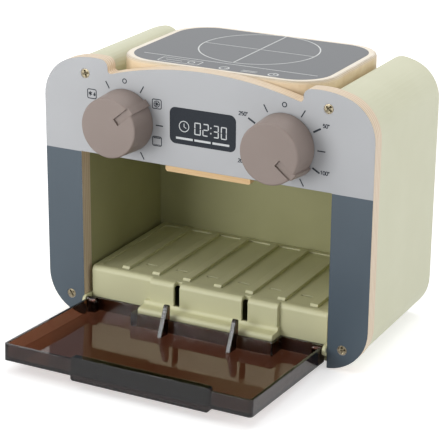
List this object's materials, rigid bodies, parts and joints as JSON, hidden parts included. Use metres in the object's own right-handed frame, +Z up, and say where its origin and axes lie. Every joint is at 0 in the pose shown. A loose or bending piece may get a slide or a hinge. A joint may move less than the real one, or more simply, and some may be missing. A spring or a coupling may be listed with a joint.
{
  "type": "toy oven",
  "caption": "Toy kitchen oven: bent side shells, arched front panel with turning knobs, hob board on top, moulded rack floor and a drop-down tray door.",
  "frame": {"origin": "centre of the whole footprint on the table, with the door lowered as at rest", "axes": "+X to the right seen from the front, +Y from the front panel to the rear, +Z up"},
  "size_m": [0.28, 0.2658, 0.2172],
  "materials": {
    "panel_paint": "painted satin",
    "shell_paint": "painted satin",
    "inner_paint": "painted matte",
    "bare_wood": "lacquered",
    "floor_plastic": "fine matte",
    "smoked_plastic": "polished, see-through",
    "knob_plastic": "satin",
    "bush_plastic": "natural",
    "screw_brass": "plated",
    "plated_steel": "zinc plated"
  },
  "bodies": {
    "casing_body": {"front_panel": "panel_paint", "left_shell": "shell_paint", "right_shell": "shell_paint", "base_board": "inner_paint", "back_board": "inner_paint", "left_wall": "inner_paint", "right_wall": "inner_paint", "top_deck": "shell_paint", "corner_battens": "bare_wood", "door_stop": "bare_wood", "hob_board": "bare_wood", "oven_floor": "floor_plastic", "hinge_pins": "plated_steel", "spindle_bushes": "bush_plastic", "front_screws": "screw_brass", "back_screws": "plated_steel", "hob_screws": "plated_steel", "floor_screws": "plated_steel"},
    "door_body": {"door": "smoked_plastic"},
    "left_knob_body": {"left_knob": "knob_plastic", "left_spindle": "plated_steel", "left_lock_nut": "plated_steel"},
    "right_knob_body": {"right_knob": "knob_plastic", "right_spindle": "plated_steel", "right_lock_nut": "plated_steel"}
  },
  "joints": [
    {"name": "door_hinge", "type": "hinge", "parent": "casing_body", "child": "door_body", "pos_m": [0, -0.0106, 0.0144], "axis": [-1, 0, 0], "range_deg": [0, 87]},
    {"name": "left_knob_turn", "type": "hinge", "parent": "casing_body", "child": "left_knob_body", "pos_m": [-0.0676, -0.0106, 0.1707], "axis": [0, 1, 0], "continuous": true},
    {"name": "right_knob_turn", "type": "hinge", "parent": "casing_body", "child": "right_knob_body", "pos_m": [0.0676, -0.0106, 0.1707], "axis": [0, 1, 0], "continuous": true}
  ]
}
